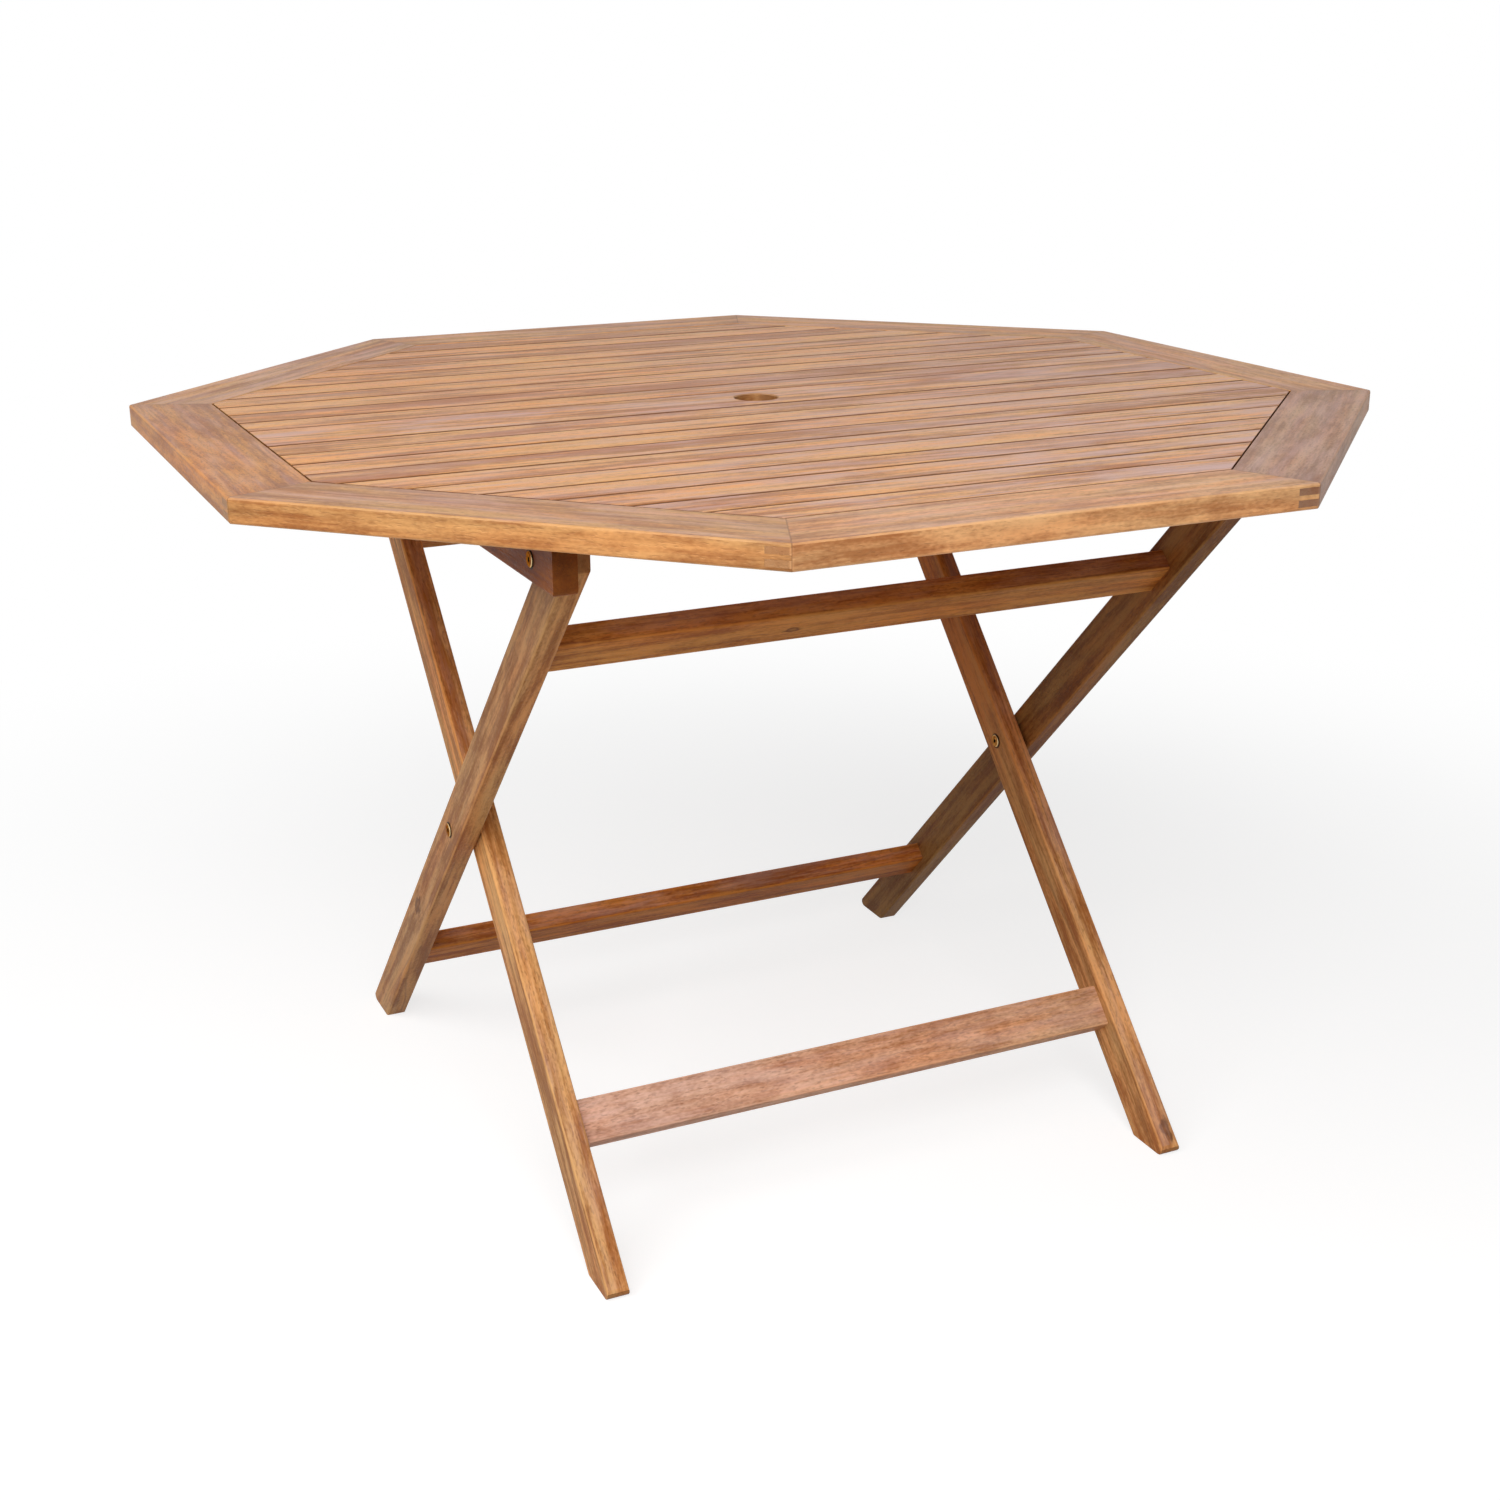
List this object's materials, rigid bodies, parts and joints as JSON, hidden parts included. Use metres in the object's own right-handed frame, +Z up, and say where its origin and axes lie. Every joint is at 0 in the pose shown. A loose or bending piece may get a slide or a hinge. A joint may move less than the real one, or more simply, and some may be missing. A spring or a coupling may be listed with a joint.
{
  "type": "folding garden table",
  "caption": "Folding octagonal garden table with a slatted hardwood top, a central parasol hole and crossed leg frames that fold flat under it.",
  "frame": {"origin": "on the floor, under the centre of the parasol hole", "axes": "+Z up, +X along the slats, +Y from the hinged edge to the opposite edge"},
  "size_m": [1.1, 1.1, 0.72],
  "materials": {
    "rim_wood": "oiled, satin",
    "slat_wood": "oiled, satin",
    "frame_wood": "oiled, satin",
    "batten_wood": "oiled, satin",
    "dowel_wood": "raw",
    "brass_hardware": "brass plated",
    "zinc_screw": "zinc plated"
  },
  "bodies": {
    "tabletop": {"rim_front": "rim_wood", "rim_front_right": "rim_wood", "rim_right": "rim_wood", "rim_back_right": "rim_wood", "rim_back": "rim_wood", "rim_back_left": "rim_wood", "rim_left": "rim_wood", "rim_front_left": "rim_wood", "slat_front_1": "slat_wood", "slat_front_2": "slat_wood", "slat_front_3": "slat_wood", "slat_front_4": "slat_wood", "slat_front_5": "slat_wood", "slat_front_6": "slat_wood", "slat_front_7": "slat_wood", "slat_front_8": "slat_wood", "slat_front_9": "slat_wood", "slat_front_10": "slat_wood", "slat_centre": "slat_wood", "slat_back_1": "slat_wood", "slat_back_2": "slat_wood", "slat_back_3": "slat_wood", "slat_back_4": "slat_wood", "slat_back_5": "slat_wood", "slat_back_6": "slat_wood", "slat_back_7": "slat_wood", "slat_back_8": "slat_wood", "slat_back_9": "slat_wood", "slat_back_10": "slat_wood", "batten_left": "batten_wood", "batten_right": "batten_wood", "batten_screws": "zinc_screw", "hinge_bolts": "brass_hardware", "hinge_sleeves": "brass_hardware", "hinge_washers": "zinc_screw"},
    "outer_frame": {"outer_leg_left": "frame_wood", "outer_leg_right": "frame_wood", "outer_upper_rail": "frame_wood", "outer_lower_rail": "frame_wood", "outer_frame_dowels": "dowel_wood", "crossing_bolts": "brass_hardware", "crossing_sleeves": "brass_hardware", "crossing_washers": "zinc_screw"},
    "inner_frame": {"inner_leg_left": "frame_wood", "inner_leg_right": "frame_wood", "inner_upper_rail": "frame_wood", "inner_lower_rail": "frame_wood", "inner_frame_dowels": "dowel_wood"}
  },
  "joints": [
    {"name": "top_hinge", "type": "hinge", "parent": "tabletop", "child": "outer_frame", "pos_m": [0, -0.34012, 0.675], "axis": [1, 0, 0], "range_deg": [0, 42]},
    {"name": "leg_crossing", "type": "hinge", "parent": "outer_frame", "child": "inner_frame", "pos_m": [0, 0, 0.33], "axis": [-1, 0, 0], "range_deg": [0, 84.84]}
  ],
  "couplings": [
    {"joint": "leg_crossing", "follows": "top_hinge", "ratio": 2.02}
  ]
}
